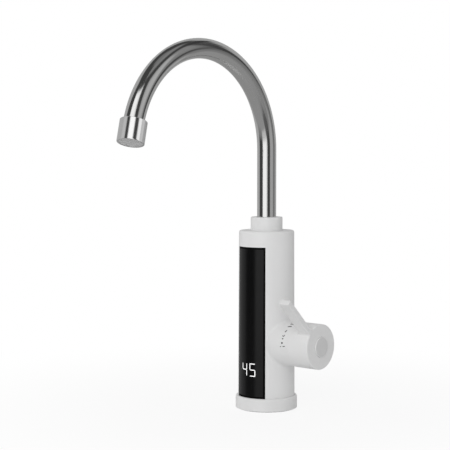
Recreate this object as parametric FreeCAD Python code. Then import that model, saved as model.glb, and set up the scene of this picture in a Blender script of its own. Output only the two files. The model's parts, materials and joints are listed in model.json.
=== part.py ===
"""Instant hot water tap: a deck tap that heats water as it flows, with a side lever and a swan-neck spout.

Millimetres. The origin is on the deck at the body's axis. +Z is up, the spout points to -Y, the knob to +X.
"""
import FreeCAD
import Part
import math
import os

V = FreeCAD.Vector
ORIGIN = V(0, 0, 0)
UP = V(0, 0, 1)
ACROSS = V(1, 0, 0)
SAME = 1e-4              # lengths closer than this are equal

# Fits and clearances
SEAT_GAP = 0.15          # fixed piece in its seat, each side
RUN_GAP = 0.06           # turning piece in its bearing, each side
TOUCH_GAP = 0.02         # seal or screw against the wall that it presses on
AIR_GAP = 0.5            # air round pieces that stand free
REST_GAP = 0.3           # loose board or block beside the wall that holds it

# Housing
BODY_R_FOOT = 28.3       # outer radius at deck level, with a slight draft up to the shoulder
BODY_R_TOP = 27.45
BODY_TOP = 177.5
WALL = 2.5
SHOULDER_ROUND = 2.0
BOSS_END = 43.6          # end of the fixed side boss, from the body's axis
BOSS_STEP = 0.2          # the knob stands this much proud of the boss
BOSS_BLEND = 3.0         # blend where the boss grows out of the body
POST_R = 3.4             # screw posts inside the foot
POST_H = 11.0
POST_INSET = 4.55        # from the inner wall to the middle of a post
POST_COUNT = 4
RIB_T = 4.0

# Base
RING_WALL = 2.2          # thickness of the ring round the body's foot
RING_TOP = 13.0
RING_LIFT = 0.4          # the ring stands this far off the deck, on its gasket
RING_FLOOR = 3.2
RING_ROUND = 1.8
RING_FOOT_ROUND = 0.6
RING_EDGE = 1.3          # left of the ring's floor inside the screw heads
GASKET_INSET = 1.5       # from the ring's outer edge
GASKET_WIDTH = 4.2
GASKET_T = 2.0
PLATE_T = 3.5
SCREW_R = 1.5
SCREW_LENGTH = 12.0
SCREW_HEAD_R = 2.7
SCREW_HEAD_H = 1.8
SOCKET_R = 1.2           # drive recess in a screw head
SOCKET_DEPTH = 1.0

# Threaded inlet shank, G 1/2
THREAD_R = 10.4775
THREAD_PITCH = 1.814
THREAD_DEPTH = 1.162
THREAD_LAND = 0.6        # width of a thread crest
THREAD_START = 6.0       # plain length under the deck
SHANK_LENGTH = 45.0
SHANK_CHAMFER = 1.0
SHANK_BORE = 5.5
SHANK_SHOULDER_R = 11.0  # plain shoulder in the base plate
SHANK_FLANGE_R = 12.8
SHANK_FLANGE_T = 3.0
SPIGOT_R = 8.5
SPIGOT_LENGTH = 14.0
SCREEN_SEAT_R = 7.6
SCREEN_SEAT_DEPTH = 3.0
SCREEN_T = 1.0
SCREEN_HOLE_R = 0.55
SCREEN_PITCH = 1.9

# Cord entry in the base plate
GROMMET_CLEAR = 1.45     # between the grommet's lip and the body's inner wall
GROMMET_LIP = 0.8
GROMMET_LIP_T = 1.2
GROMMET_WALL = 1.2

# Seals
SEAL_CORD = 1.6          # thickness of the round seals

# Valve
HANDLE_Z = 67.0          # height of the knob's axis
SOCKET_WALL = 3.0
BARREL_WALL = 4.5
BARREL_BACK = -13.0
BARREL_FRONT = 24.0
CAVITY_FLOOR = 4.0
SEAL_PAD_T = 2.0
SEAL_PAD_WALL = 1.7
PASSAGE_R = 3.6          # upright water passage above the spigot
FEED_R = 5.0             # from the passage into the cartridge cavity
CARTRIDGE_R = 10.0
CARTRIDGE_WALL = 1.9
CARTRIDGE_FLANGE_R = 13.0
CARTRIDGE_FLANGE_T = 4.0
NECK_R = 8.0             # cartridge neck, through the boss bezel
NECK_LENGTH = 16.6
DISC_T = 3.0
PORT_R = 2.0
PORT_PLACE = 4.2
SIDE_PORT_R = 2.4
DRIVER_T = 6.0
DRIVER_R = 6.2           # leaves room round the driver for the water
DRIVER_W = 3.4           # across its two flats
TONGUE_W = 2.4           # driver's tongue in the slot of the moving disc
TONGUE_T = 1.2
COLLAR_T = 1.5           # collar that keeps the spindle in the cartridge
STEM_R = 4.0
STEM_FLAT = 3.0          # distance of the stem's flat from its axis
STEM_SEAL_PLACE = 6.0
NIPPLE_INSET = 7.1       # from the tank's side to the nipple's axis
NIPPLE_R = 6.0
NIPPLE_BORE = 3.6
BEZEL_T = 2.0
BEZEL_LEDGE = 1.0
REED_R = 1.4
REED_LENGTH = 14.0
REED_PLACE = 15.0

# Knob and lever
KNOB_R = 22.1
KNOB_GAP = 0.25          # air between the boss and the knob
KNOB_END = 68.1
KNOB_WALL = 2.6
KNOB_FACE = 5.0
KNOB_ROUND = 1.0
HUB_R = 7.5
HUB_CLEAR = 1.5
LEVER_ANGLE = 46.0       # lean of the lever towards the front, from upright
LEVER_TIP = 68.5         # from the knob's axis
LEVER_WIDTH = 11.1
LEVER_T = 5.7
LEVER_TIP_ROUND = 1.2
LEVER_ROOT_ROUND = 2.0   # at the lever's front and back
LEVER_BLEND = 8.0        # blend from the lever's inner side into the knob
BLEND_DIP = 0.5          # the end of that blend dips this far under the knob's surface
CAP_R = 9.65
CAP_PROUD = 1.2
CAP_SEAT = 3.0
CAP_ROUND = 0.5
CAP_ROOF = 1.7
HANDLE_SCREW_R = 2.0
HANDLE_SCREW_LENGTH = 11.0
HANDLE_SCREW_HEAD_R = 3.5
HANDLE_SCREW_HEAD_H = 2.0
MAGNET_R = 2.5
MAGNET_T = 3.0
MAGNET_PLACE = 14.0
MAGNET_WALL = 1.0
MAGNET_PROUD = 0.6

# Heater
BOARD_SPACE = 6.0        # between the tank and the body's inner wall, for the display board
TANK_WALL = 1.5
TANK_FLOOR = 3.0
TANK_LIFT = 9.0          # from the valve barrel up to the tank
TANK_FLANGE = 3.5
TANK_FLANGE_T = 3.0
LID_T = 5.0
LID_SPIGOT = 4.0
LID_SCREW_COUNT = 4
LID_SCREW_LENGTH = 7.0
LID_PASSAGE_R = 7.0
OUTLET_SHOULDER_GAP = 2.15    # between the lid's clamping shoulder and the screw heads
OUTLET_SHOULDER_H = 11.0
ELEMENT_LEGS = 6
ELEMENT_R = 2.4
ELEMENT_INSET = 5.6      # from the tank's inner wall to the middle of a leg
ELEMENT_END_GAP = 3.0
TERMINAL_LENGTH = 5.0
CUTOUT_R = 6.0
CUTOUT_T = 2.2
CUTOUT_Z = 125.0
CUTOUT_BASE = 16.0
CUTOUT_BASE_T = 1.6
PROBE_R = 1.8
PROBE_TIP = 4.0
PROBE_HEAD_R = 2.4
PROBE_HEAD_T = 1.6

# Electronics
BOARD_T = 1.6
BOARD_GAP = 1.2
BOARD_BOTTOM = 22.0
BOARD_END_GAP = 6.0
MODULE_W = 19.0
MODULE_H = 17.0
RELAY_W = 16.0
RELAY_H = 19.0
RELAY_Z = 66.0
BLOCK_W = 16.0
BLOCK_H = 10.0
BLOCK_Z = 30.0
SINK_W = 14.0
SINK_H = 14.0
SINK_Z = 46.0

# Display window
WINDOW_HALF_ANGLE = 37.3
WINDOW_TOP = 161.8
WINDOW_T = 1.6
WINDOW_TUCK = 2.0        # the window runs this far down behind the base ring
WINDOW_LEDGE = 3.0
DIGIT_Z = 41.0
DIGIT_PITCH = 9.7
DIGIT_W = 6.4
DIGIT_H = 12.8
DIGIT_STROKE = 0.8
DIGIT_GAP = 0.12

# Spout
NUT_R = 15.8
NUT_H = 13.2
NUT_LIP = 2.6
NUT_ROUND = 0.9
OUTLET_R = 13.0          # threaded outlet neck under the nut
OUTLET_BORE = 11.2
TUBE_R = 9.5
TUBE_WALL = 0.8
TUBE_SLEEVE = 12.8       # length of tube held in the swivel bush
ARC_START_Z = 257.45
ARC_R = 94.0
ARC_ANGLE = 166.2
TAIL_LENGTH = 5.9        # straight end of the tube inside the aerator's ball
BUSH_FLANGE_R = 12.4
BUSH_FLANGE_T = 2.5
BUSH_BORE = 7.0
BUSH_LENGTH = 21.0
BUSH_SEAL_PITCH = 3.6
BUSH_SEAL_END = 2.2
SLIP_T = 0.8
SLIP_PLAY = 0.05

# Aerator, which tilts on a ball at the end of the tube
BALL_WALL = 1.5          # from the tube to the ball's equator
BALL_PLACE = 2.5         # ball's centre, past the end of the bend
BALL_RISE = 3.0          # ball's upper face, above its centre
BALL_DROP = 7.5          # ball's lower face, below its centre
BALL_BORE = 6.8
BALL_STEP = 0.4          # the housing's bore is this much wider than the ball
AERATOR_WALL = 1.1
AERATOR_LENGTH = 20.7
AERATOR_RISE = 5.1       # housing's upper rim, above the ball's centre
AERATOR_LIP = 0.5
AERATOR_ROUND = 0.5
AERATOR_LEAN = 8.0       # tilt on the ball at rest
LEAN_SIDE = 36.7         # where the outlet tilts to, from the knob's side towards the front
MOUTH_CLEAR = 1.6        # air round the tube in the housing's upper mouth
MOUTH_TAPER = 0.7
MOUTH_DEPTH = 3.1
WASHER_PLACE = 3.0       # washer's upper face, below the ball's centre
WASHER_BORE_STEP = 2.2   # the washer's bore is this much narrower than the ball
JET_CLEAR = 1.7          # between ball and jet plate, room for the tilt
MESH_T = 0.8
MESH_HOLE_R = 0.3
MESH_PITCH = 1.4
JET_R = 0.9
JET_PITCH = 3.2


def body_r(height):
    """Outer radius of the drafted body at a height."""
    return BODY_R_FOOT + (BODY_R_TOP - BODY_R_FOOT) * height / BODY_TOP


def room_r(low, high):
    """Inner radius of the body that is free all the way between two heights."""
    return min(body_r(low), body_r(high)) - WALL


# Places and sizes that follow from the values above
foot_inner_r = BODY_R_FOOT - WALL
ring_bore = BODY_R_FOOT + SEAT_GAP
ring_r = ring_bore + RING_WALL
gasket_outer_r = ring_r - GASKET_INSET
gasket_inner_r = gasket_outer_r - GASKET_WIDTH
post_place_r = foot_inner_r - POST_INSET
ring_inner_r = post_place_r - SCREW_HEAD_R - RING_EDGE
grommet_lip_r = (foot_inner_r - GROMMET_CLEAR - SHANK_FLANGE_R - AIR_GAP) / 2
grommet_place = SHANK_FLANGE_R + AIR_GAP + grommet_lip_r
grommet_r = grommet_lip_r - GROMMET_LIP
cord_bore = grommet_r - GROMMET_WALL
floor_top = RING_LIFT + RING_FLOOR
plate_top = floor_top + PLATE_T
flange_top = plate_top + SHANK_FLANGE_T
spigot_top = flange_top + SPIGOT_LENGTH
boss_r = KNOB_R - BOSS_STEP
boss_bore = boss_r - WALL
bezel_seat_r = boss_bore + BEZEL_LEDGE
knob_start = BOSS_END + KNOB_GAP
lever_root_y = LEVER_T / 2 + LEVER_ROOT_ROUND
lever_root_z = math.sqrt((KNOB_R + LEVER_ROOT_ROUND) ** 2 - lever_root_y ** 2)
lever_inner = KNOB_END - LEVER_WIDTH
blend_start = lever_inner - LEVER_BLEND
socket_bore = SPIGOT_R + SEAT_GAP
socket_r = socket_bore + SOCKET_WALL
barrel_r = CARTRIDGE_R + BARREL_WALL
cartridge_start = CAVITY_FLOOR + SEAL_PAD_T
cartridge_bore = CARTRIDGE_R - CARTRIDGE_WALL
neck_start = BARREL_FRONT + CARTRIDGE_FLANGE_T
neck_end = neck_start + NECK_LENGTH
moving_disc_start = cartridge_start + DISC_T + RUN_GAP
driver_start = moving_disc_start + DISC_T
driver_end = driver_start + DRIVER_T
stem_bore = STEM_R + RUN_GAP
cap_floor = KNOB_END - CAP_SEAT
stem_end = KNOB_END - KNOB_FACE - REST_GAP
tank_bottom = HANDLE_Z + barrel_r + TANK_LIFT
tank_r = room_r(tank_bottom, BODY_TOP) - BOARD_SPACE
tank_bore = tank_r - TANK_WALL
nipple_x = tank_r - NIPPLE_INSET
element_place_r = tank_bore - ELEMENT_INSET
tank_floor_top = tank_bottom + TANK_FLOOR
roof = BODY_TOP - WALL
lid_top = roof - OUTLET_SHOULDER_H
lid_bottom = lid_top - LID_T
lid_r = tank_r + TANK_FLANGE
lid_screw_place = tank_r + TANK_FLANGE / 2
outlet_shoulder_r = lid_screw_place - SCREW_HEAD_R - OUTLET_SHOULDER_GAP
nut_top = BODY_TOP + NUT_H
lip_bottom = nut_top - NUT_LIP
bush_top = lip_bottom - SLIP_PLAY
bush_flange_bottom = bush_top - BUSH_FLANGE_T
outlet_top = bush_flange_bottom - SLIP_PLAY - SLIP_T
bush_bottom = bush_top - BUSH_LENGTH
tube_bottom = bush_top - TUBE_SLEEVE
bush_r = OUTLET_BORE - RUN_GAP
board_back = tank_r + BOARD_GAP
board_front = board_back + BOARD_T
control_front = barrel_r + BOARD_GAP
control_back = control_front + BOARD_T
ball_r = TUBE_R + BALL_WALL
aerator_bore = ball_r + BALL_STEP
aerator_r = aerator_bore + AERATOR_WALL
aerator_end = AERATOR_LENGTH - AERATOR_RISE
mouth_r = TUBE_R + MOUTH_CLEAR
insert_r = aerator_bore - SEAT_GAP
mesh_end = aerator_end - AERATOR_LIP
insert_end = mesh_end - MESH_T
washer_end = BALL_DROP + JET_CLEAR
washer_bore = ball_r - WASHER_BORE_STEP


def disc(radius, bottom, top, x=0.0, y=0.0):
    """Upright round between two heights."""
    return Part.makeCylinder(radius, top - bottom, V(x, y, bottom), UP)


def ring(outer, inner, bottom, top):
    """Upright ring between two heights."""
    return disc(outer, bottom, top).cut(disc(inner, bottom, top))


def bar(radius, start, end, y=0.0, z=HANDLE_Z):
    """Round lying along X, on the knob's axis unless moved."""
    return Part.makeCylinder(radius, end - start, V(start, y, z), ACROSS)


def sleeve(outer, inner, start, end):
    """Ring on the knob's axis."""
    return bar(outer, start, end).cut(bar(inner, start, end))


def block(x, y, z):
    """Box between pairs of limits along each axis."""
    corner = V(x[0], y[0], z[0])
    return Part.makeBox(x[1] - x[0], y[1] - y[0], z[1] - z[0], corner)


def section(points):
    """Flat face from points given as radius and height."""
    corners = [V(radius, 0, height) for radius, height in points]
    return Part.Face(Part.makePolygon(corners + corners[:1]))


def turned(points):
    """Solid turned about the body's axis."""
    return section(points).revolve(ORIGIN, UP, 360)


def front_sector(points, half_angle):
    """Part of a turned solid, to either side of the front."""
    face = section(points)
    face.rotate(ORIGIN, UP, -90 - half_angle)
    return face.revolve(ORIGIN, UP, 2 * half_angle)


def around(shape, count, first=0.0):
    """Copies of a shape spaced evenly about the body's axis."""
    copies = []
    for index in range(count):
        copy = shape.copy()
        copy.rotate(ORIGIN, UP, first + index * 360.0 / count)
        copies.append(copy)
    return copies


def is_rim(edge, radius, centre):
    """Whether an edge is a circle of this radius about this point."""
    curve = edge.Curve
    if not isinstance(curve, Part.Circle):
        return False
    return abs(curve.Radius - radius) < SAME and curve.Center.distanceToPoint(centre) < SAME


def round_rim(shape, radius, centre, amount):
    """Shape with one circular rim rounded."""
    return shape.makeFillet(amount, [edge for edge in shape.Edges if is_rim(edge, radius, centre)])


def hole_grid(reach, pitch):
    """Points of a triangular grid inside a circle."""
    rows = int(reach / pitch) + 1
    points = []
    for row in range(-rows, rows + 1):
        for column in range(-rows, rows + 1):
            x = (column + 0.5 * (row % 2)) * pitch
            y = row * pitch * math.sqrt(0.75)
            if math.hypot(x, y) <= reach:
                points.append((x, y))
    return points


def seal_radius(bore):
    """Middle radius of a round seal that presses on a bore."""
    return bore - TOUCH_GAP - SEAL_CORD / 2


def seal(bore, height):
    """Round seal inside an upright bore."""
    return Part.makeTorus(seal_radius(bore), SEAL_CORD / 2, V(0, 0, height), UP)


def seal_groove(outer, bore, height):
    """Cut that seats such a seal in a spigot of the outer radius."""
    floor_r = seal_radius(bore) - SEAL_CORD / 2 - TOUCH_GAP
    half = SEAL_CORD / 2 + TOUCH_GAP
    return ring(outer + AIR_GAP, floor_r, height - half, height + half)


def cap_screw(shaft_r, length, head_r, head_h):
    """Screw pointing up, with its head below z = 0 and a drive recess."""
    screw = disc(shaft_r, 0, length).fuse(disc(head_r, -head_h, 0))
    return screw.cut(disc(SOCKET_R, -head_h, SOCKET_DEPTH - head_h)).removeSplitter()


def window_blank(gap):
    """Curved window plate, flush with the body, smaller than its seat by a gap."""
    low = RING_TOP - WINDOW_TUCK + gap
    high = WINDOW_TOP - gap
    points = [(body_r(low) - WINDOW_T, low), (body_r(low), low)]
    points += [(body_r(high), high), (body_r(high) - WINDOW_T, high)]
    return front_sector(points, WINDOW_HALF_ANGLE - math.degrees(gap / BODY_R_TOP))


def window_seat():
    """Pocket for the window, with the smaller opening through the wall behind it."""
    low = RING_TOP - WINDOW_TUCK
    outside = max(BODY_R_FOOT, BODY_R_TOP) + WALL
    points = [(body_r(low) - WINDOW_T, low), (outside, low)]
    points += [(outside, WINDOW_TOP), (body_r(WINDOW_TOP) - WINDOW_T, WINDOW_TOP)]
    pocket = front_sector(points, WINDOW_HALF_ANGLE)
    low += WINDOW_TUCK + WINDOW_LEDGE
    high = WINDOW_TOP - WINDOW_LEDGE
    inside = room_r(low, high) - WALL
    points = [(inside, low), (outside, low), (outside, high), (inside, high)]
    opening = front_sector(points, WINDOW_HALF_ANGLE - math.degrees(WINDOW_LEDGE / BODY_R_TOP))
    return pocket.fuse(opening)


def body_outside():
    """Outer form of the housing: drafted body and side boss, blended together."""
    body = turned([(0, floor_top), (body_r(floor_top), floor_top), (BODY_R_TOP, BODY_TOP), (0, BODY_TOP)])
    body = round_rim(body, BODY_R_TOP, V(0, 0, BODY_TOP), SHOULDER_ROUND)
    joined = body.fuse(bar(boss_r, 0, BOSS_END))
    crossing = [edge for edge in joined.Edges if isinstance(edge.Curve, Part.BSplineCurve)]
    return joined.makeFillet(BOSS_BLEND, crossing)


def body_shell():
    """White housing, open at the foot, with screw posts inside."""
    foot_r = body_r(floor_top) - WALL
    inside = turned([(0, floor_top), (foot_r, floor_top), (BODY_R_TOP - WALL, roof), (0, roof)])
    shell = body_outside().cut(inside)
    shell = shell.cut(bar(boss_bore, 0, BOSS_END))
    shell = shell.cut(bar(bezel_seat_r, BOSS_END - BEZEL_T, BOSS_END))
    shell = shell.cut(window_seat())
    shell = shell.cut(disc(OUTLET_R + SEAT_GAP, roof, BODY_TOP))
    post_top = plate_top + POST_H
    post = disc(POST_R, plate_top, post_top, x=post_place_r)
    rib = block((post_place_r, foot_r + WALL / 2), (-RIB_T / 2, RIB_T / 2), (plate_top, post_top))
    pilot = disc(SCREW_R + TOUCH_GAP, plate_top, post_top, x=post_place_r)
    post = post.fuse(rib).cut(pilot)
    for copy in around(post, POST_COUNT, 180.0 / POST_COUNT):
        shell = shell.fuse(copy)
    return shell.removeSplitter()


def base_ring():
    """Trim ring round the foot, with the floor that the housing stands on."""
    body = turned([(ring_inner_r, RING_LIFT), (ring_r, RING_LIFT), (ring_r, RING_TOP),
                   (ring_bore, RING_TOP), (ring_bore, floor_top), (ring_inner_r, floor_top)])
    body = round_rim(body, ring_r, V(0, 0, RING_TOP), RING_ROUND)
    body = round_rim(body, ring_r, V(0, 0, RING_LIFT), RING_FOOT_ROUND)
    body = body.cut(ring(gasket_outer_r + SEAT_GAP, gasket_inner_r - SEAT_GAP, 0, GASKET_T))
    hole = disc(SCREW_R + SEAT_GAP, RING_LIFT, floor_top, x=post_place_r)
    hole = hole.fuse(disc(SCREW_HEAD_R + REST_GAP, RING_LIFT, screw_seat(), x=post_place_r))
    for copy in around(hole, POST_COUNT, 180.0 / POST_COUNT):
        body = body.cut(copy)
    return body.cut(disc(grommet_lip_r + REST_GAP, RING_LIFT, floor_top, y=grommet_place))


def screw_seat():
    """Height of the face that the base screws pull on."""
    return RING_LIFT + SCREW_HEAD_H + REST_GAP


def base_gasket():
    """Rubber ring that seals the foot to the deck."""
    return ring(gasket_outer_r, gasket_inner_r, 0, GASKET_T)


def base_plate():
    """Stiff plate that carries the shank and closes the foot."""
    plate = disc(body_r(floor_top) - WALL - SEAT_GAP, floor_top, plate_top)
    plate = plate.cut(disc(SHANK_SHOULDER_R + SEAT_GAP, floor_top, plate_top))
    plate = plate.cut(disc(grommet_r, floor_top, plate_top, y=grommet_place))
    hole = disc(SCREW_R + SEAT_GAP, floor_top, plate_top, x=post_place_r)
    for copy in around(hole, POST_COUNT, 180.0 / POST_COUNT):
        plate = plate.cut(copy)
    return plate


def base_screws():
    """Screws up through ring and plate into the posts."""
    screw = cap_screw(SCREW_R, SCREW_LENGTH, SCREW_HEAD_R, SCREW_HEAD_H)
    screw.translate(V(post_place_r, 0, screw_seat()))
    return Part.makeCompound(around(screw, POST_COUNT, 180.0 / POST_COUNT))


def cord_grommet():
    """Rubber bush in the base plate where the supply cord comes in."""
    bush = disc(grommet_r, floor_top, plate_top, y=grommet_place)
    bush = bush.fuse(disc(grommet_lip_r, floor_top - GROMMET_LIP_T, floor_top, y=grommet_place))
    bush = bush.fuse(disc(grommet_lip_r, plate_top, plate_top + GROMMET_LIP_T, y=grommet_place))
    bottom = floor_top - GROMMET_LIP_T
    top = plate_top + GROMMET_LIP_T
    return bush.cut(disc(cord_bore, bottom, top, y=grommet_place)).removeSplitter()


def shank_outline():
    """Radius and height down the outside of the shank, from the deck to its end."""
    root_r = THREAD_R - THREAD_DEPTH
    flank = (THREAD_PITCH - THREAD_LAND) / 2
    points = [(THREAD_R, 0)]
    height = -THREAD_START
    while height - THREAD_PITCH > SHANK_CHAMFER - SHANK_LENGTH:
        points += [(THREAD_R, height), (root_r, height - flank), (THREAD_R, height - 2 * flank)]
        height -= THREAD_PITCH
    points += [(THREAD_R, SHANK_CHAMFER - SHANK_LENGTH), (THREAD_R - SHANK_CHAMFER, -SHANK_LENGTH)]
    return points


def inlet_shank():
    """Brass inlet: threaded shank under the deck, flange on the base plate, spigot into the valve."""
    points = [(SHANK_BORE, spigot_top), (SPIGOT_R, spigot_top), (SPIGOT_R, flange_top)]
    points += [(SHANK_FLANGE_R, flange_top), (SHANK_FLANGE_R, plate_top), (SHANK_SHOULDER_R, plate_top)]
    points += [(SHANK_SHOULDER_R, 0)] + shank_outline()
    seat_top = SCREEN_SEAT_DEPTH - SHANK_LENGTH
    points += [(SCREEN_SEAT_R, -SHANK_LENGTH), (SCREEN_SEAT_R, seat_top), (SHANK_BORE, seat_top)]
    return turned(points).cut(seal_groove(SPIGOT_R, socket_bore, shank_seal_z()))


def shank_seal_z():
    """Height of the seal on the shank's spigot."""
    return flange_top + SPIGOT_LENGTH / 2


def inlet_screen():
    """Strainer disc in the mouth of the shank."""
    top = SCREEN_SEAT_DEPTH - SHANK_LENGTH
    screen = disc(SCREEN_SEAT_R - TOUCH_GAP, top - SCREEN_T, top)
    holes = [disc(SCREEN_HOLE_R, top - SCREEN_T, top, x, y)
             for x, y in hole_grid(SHANK_BORE - SCREEN_HOLE_R, SCREEN_PITCH)]
    return screen.cut(Part.makeCompound(holes))


def shank_seal():
    """Seal between the shank and the valve body."""
    return seal(socket_bore, shank_seal_z())


def valve_body():
    """Brass valve body: upright inlet socket, lying barrel for the cartridge, outlet nipple to the tank."""
    body = disc(socket_r, flange_top, HANDLE_Z).fuse(bar(barrel_r, BARREL_BACK, BARREL_FRONT))
    body = body.fuse(disc(NIPPLE_R, HANDLE_Z, tank_floor_top, x=nipple_x))
    body = body.cut(disc(socket_bore, flange_top, spigot_top + REST_GAP))
    body = body.cut(disc(PASSAGE_R, spigot_top, HANDLE_Z))
    body = body.cut(bar(FEED_R, -PASSAGE_R, CAVITY_FLOOR))
    body = body.cut(bar(CARTRIDGE_R + SEAT_GAP, CAVITY_FLOOR, BARREL_FRONT))
    body = body.cut(disc(NIPPLE_BORE, HANDLE_Z, tank_floor_top, x=nipple_x))
    groove = seal_groove(NIPPLE_R, NIPPLE_R + SEAT_GAP, nipple_seal_z())
    groove.translate(V(nipple_x, 0, 0))
    return body.cut(groove).removeSplitter()


def nipple_seal_z():
    """Height of the seal on the outlet nipple."""
    return tank_bottom + TANK_FLOOR / 2


def nipple_seal():
    """Seal between the valve body and the tank."""
    shape = seal(NIPPLE_R + SEAT_GAP, nipple_seal_z())
    shape.translate(V(nipple_x, 0, 0))
    return shape


def cartridge_seal():
    """Rubber ring that presses the fixed disc onto its seat."""
    return sleeve(cartridge_bore, cartridge_bore - SEAL_PAD_WALL, CAVITY_FLOOR, cartridge_start)


def disc_ports(start, end):
    """Two water ports through a valve disc."""
    ports = [bar(PORT_R, start, end, y=side * PORT_PLACE) for side in (-1, 1)]
    return Part.makeCompound(ports)


def fixed_disc():
    """Ceramic disc that stands still in the cartridge."""
    end = cartridge_start + DISC_T
    return bar(cartridge_bore - SEAT_GAP, cartridge_start, end).cut(disc_ports(cartridge_start, end))


def tongue(gap):
    """Driver's tongue across the back of the moving disc, or with a gap the slot for it."""
    half = TONGUE_W / 2 + gap
    shape = block((driver_start - TONGUE_T - gap, driver_start), (-half, half), (-DRIVER_R, DRIVER_R))
    shape.translate(V(0, 0, HANDLE_Z))
    return shape.common(bar(DRIVER_R - SEAT_GAP + gap, driver_start - DISC_T, driver_start))


def moving_disc():
    """Ceramic disc that turns with the spindle."""
    shape = bar(cartridge_bore - REST_GAP, moving_disc_start, driver_start)
    shape = shape.cut(disc_ports(moving_disc_start, driver_start))
    return shape.cut(tongue(TOUCH_GAP))


def cartridge_body():
    """Brass cartridge: holds the discs, screws into the barrel, guides the spindle."""
    body = bar(CARTRIDGE_R, cartridge_start, BARREL_FRONT)
    body = body.fuse(bar(CARTRIDGE_FLANGE_R, BARREL_FRONT, neck_start))
    body = body.fuse(bar(NECK_R, neck_start, neck_end))
    body = body.cut(bar(cartridge_bore, cartridge_start, driver_end + REST_GAP))
    body = body.cut(bar(stem_bore, driver_end, neck_end))
    port = disc(SIDE_PORT_R, HANDLE_Z - barrel_r, HANDLE_Z + barrel_r, x=(driver_start + driver_end) / 2)
    return body.cut(port).removeSplitter()


def stem(radius, start, end):
    """Round stem with a driving flat on its upper side."""
    flat_z = HANDLE_Z + STEM_FLAT + radius - STEM_R
    above = block((start, end), (-radius, radius), (flat_z, flat_z + radius))
    return bar(radius, start, end).cut(above)


def stem_seal_x():
    """Place of the spindle's seal inside the cartridge neck."""
    return neck_start + STEM_SEAL_PLACE


def on_knob_axis(shape, x):
    """Upright shape laid over onto the knob's axis, its base at x."""
    shape.rotate(ORIGIN, V(0, 1, 0), 90)
    shape.translate(V(x, 0, HANDLE_Z))
    return shape


def spindle():
    """Brass spindle: driver for the moving disc, stem with a flat for the knob, tapped end."""
    flats = block((driver_start, driver_end), (-DRIVER_W / 2, DRIVER_W / 2),
                  (HANDLE_Z - DRIVER_R, HANDLE_Z + DRIVER_R))
    shape = bar(DRIVER_R, driver_start, driver_end).common(flats).fuse(tongue(0))
    shape = shape.fuse(bar(cartridge_bore - REST_GAP, driver_end - COLLAR_T, driver_end))
    shape = shape.fuse(bar(STEM_R, driver_end, neck_end + HUB_CLEAR))
    shape = shape.fuse(stem(STEM_R, neck_end + HUB_CLEAR, stem_end))
    groove = seal_groove(STEM_R, stem_bore, 0)
    shape = shape.cut(on_knob_axis(groove, stem_seal_x()))
    tapped = bar(HANDLE_SCREW_R + TOUCH_GAP, cap_floor - HANDLE_SCREW_LENGTH - REST_GAP, stem_end)
    return shape.cut(tapped).removeSplitter()


def spindle_seal():
    """Seal on the spindle, in the cartridge neck."""
    return on_knob_axis(seal(stem_bore, 0), stem_seal_x())


def boss_bezel():
    """Ring plate that closes the boss round the cartridge neck."""
    return sleeve(bezel_seat_r - SEAT_GAP, NECK_R + SEAT_GAP, BOSS_END - BEZEL_T, BOSS_END)


def reed_switch():
    """Switch capsule behind the bezel, worked by the magnet in the knob."""
    place = V(BOSS_END - BEZEL_T - REED_R, -REED_LENGTH / 2, HANDLE_Z - REED_PLACE)
    return Part.makeCylinder(REED_R, REED_LENGTH, place, V(0, 1, 0))


def arc_edge(centre, radius, angles):
    """Arc in the plane of the knob's end face; angles in degrees from +Y towards +Z."""
    points = []
    for angle in (angles[0], sum(angles) / 2, angles[1]):
        turn = math.radians(angle)
        points.append(V(0, centre[0] + radius * math.cos(turn), centre[1] + radius * math.sin(turn)))
    return Part.Arc(*points).toShape()


def knob_outline():
    """End view of knob and upright lever, with rounded roots and tip corners."""
    half = LEVER_T / 2
    root_angle = math.degrees(math.atan2(lever_root_z, lever_root_y))
    corner_y = half - LEVER_TIP_ROUND
    corner_z = LEVER_TIP - LEVER_TIP_ROUND
    edges = [
        Part.LineSegment(V(0, -corner_y, LEVER_TIP), V(0, corner_y, LEVER_TIP)).toShape(),
        arc_edge((corner_y, corner_z), LEVER_TIP_ROUND, (90, 0)),
        Part.LineSegment(V(0, half, corner_z), V(0, half, lever_root_z)).toShape(),
        arc_edge((lever_root_y, lever_root_z), LEVER_ROOT_ROUND, (180, 180 + root_angle)),
        arc_edge((0, 0), KNOB_R, (root_angle, -180 - root_angle)),
        arc_edge((-lever_root_y, lever_root_z), LEVER_ROOT_ROUND, (-root_angle, 0)),
        Part.LineSegment(V(0, -half, lever_root_z), V(0, -half, corner_z)).toShape(),
        arc_edge((-corner_y, corner_z), LEVER_TIP_ROUND, (180, 90)),
    ]
    return Part.Face(Part.Wire(edges))


def lever_blend_waste():
    """What is cut from the inner side of a wide lever, to leave the blend into the knob."""
    low = HANDLE_Z + lever_root_z * KNOB_R / (KNOB_R + LEVER_ROOT_ROUND) - BLEND_DIP
    top = HANDLE_Z + LEVER_TIP
    width = (-lever_root_y, lever_root_y)
    middle = V(blend_start, -lever_root_y, low + LEVER_BLEND)
    hollow = Part.makeCylinder(LEVER_BLEND, 2 * lever_root_y, middle, V(0, 1, 0))
    blend = block((blend_start, lever_inner), width, (low, middle.z)).cut(hollow)
    return block((blend_start, lever_inner), width, (low, top)).cut(blend)


def lies_at(edge, x):
    """Whether an edge lies in the plane at x."""
    box = edge.BoundBox
    return abs(box.XMin - x) < SAME and abs(box.XMax - x) < SAME


def lean(shape):
    """Shape turned from lever upright to the lever's place at rest."""
    shape.rotate(V(0, 0, HANDLE_Z), ACROSS, LEVER_ANGLE)
    return shape


def magnet_pocket_x():
    """End of the magnet's post, just clear of the cartridge neck."""
    return neck_end + HUB_CLEAR


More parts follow.
